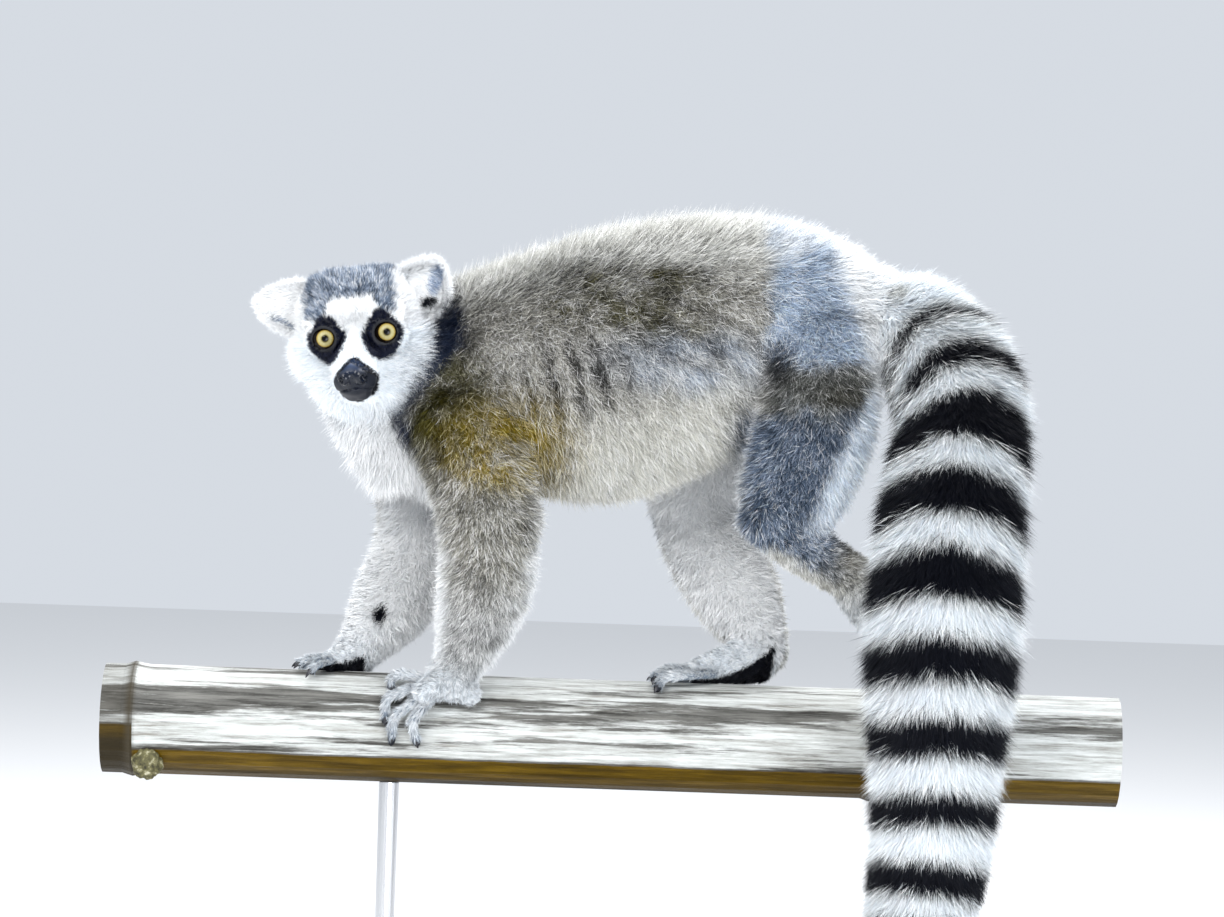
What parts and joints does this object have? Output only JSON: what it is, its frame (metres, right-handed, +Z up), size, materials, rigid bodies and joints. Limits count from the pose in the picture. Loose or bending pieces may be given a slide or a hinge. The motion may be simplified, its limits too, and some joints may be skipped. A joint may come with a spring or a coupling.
{
  "type": "ring-tailed lemur, life-size standing model on a bamboo perch",
  "caption": "Life-size ring-tailed lemur walking along a cut length of bamboo, head turned over its left side and tail hanging in front, on a plain rod stand.",
  "frame": {"origin": "centre of the underside of the stand's base", "axes": "+Z up; the bamboo lies along X; the lemur walks towards -X and its left side faces -Y, where its face also looks"},
  "size_m": [0.609, 0.2551, 0.5992],
  "materials": {
    "grey_coat": "dense soft salt-and-pepper fur",
    "white_coat": "soft white fur",
    "ringed_coat": "long soft fur in black and white rings",
    "dark_skin": "bare moist black skin",
    "eye": "wet, clear and glossy",
    "claw": "smooth dark horn",
    "bamboo": "weathered cane",
    "stand_wood": "satin lacquer",
    "stand_metal": "brushed"
  },
  "bodies": {
    "root": {"trunk": "grey_coat", "neck": "white_coat", "head": "white_coat", "nose": "dark_skin", "eye_left": "eye", "eye_right": "eye", "ear_left": "white_coat", "ear_right": "white_coat", "upper_arm_left": "grey_coat", "forearm_left": "grey_coat", "hand_left": "white_coat", "thigh_left": "grey_coat", "shank_left": "grey_coat", "foot_left": "white_coat", "upper_arm_right": "grey_coat", "forearm_right": "grey_coat", "hand_right": "white_coat", "thigh_right": "grey_coat", "shank_right": "grey_coat", "foot_right": "white_coat", "tail_1": "ringed_coat", "tail_2": "ringed_coat", "tail_3": "ringed_coat", "tail_4": "ringed_coat", "tail_5": "ringed_coat", "tail_6": "ringed_coat", "stand_perch": "bamboo", "stand_base": "stand_wood", "stand_rod_fore": "stand_metal", "stand_rod_hind": "stand_metal"}
  },
  "joints": []
}
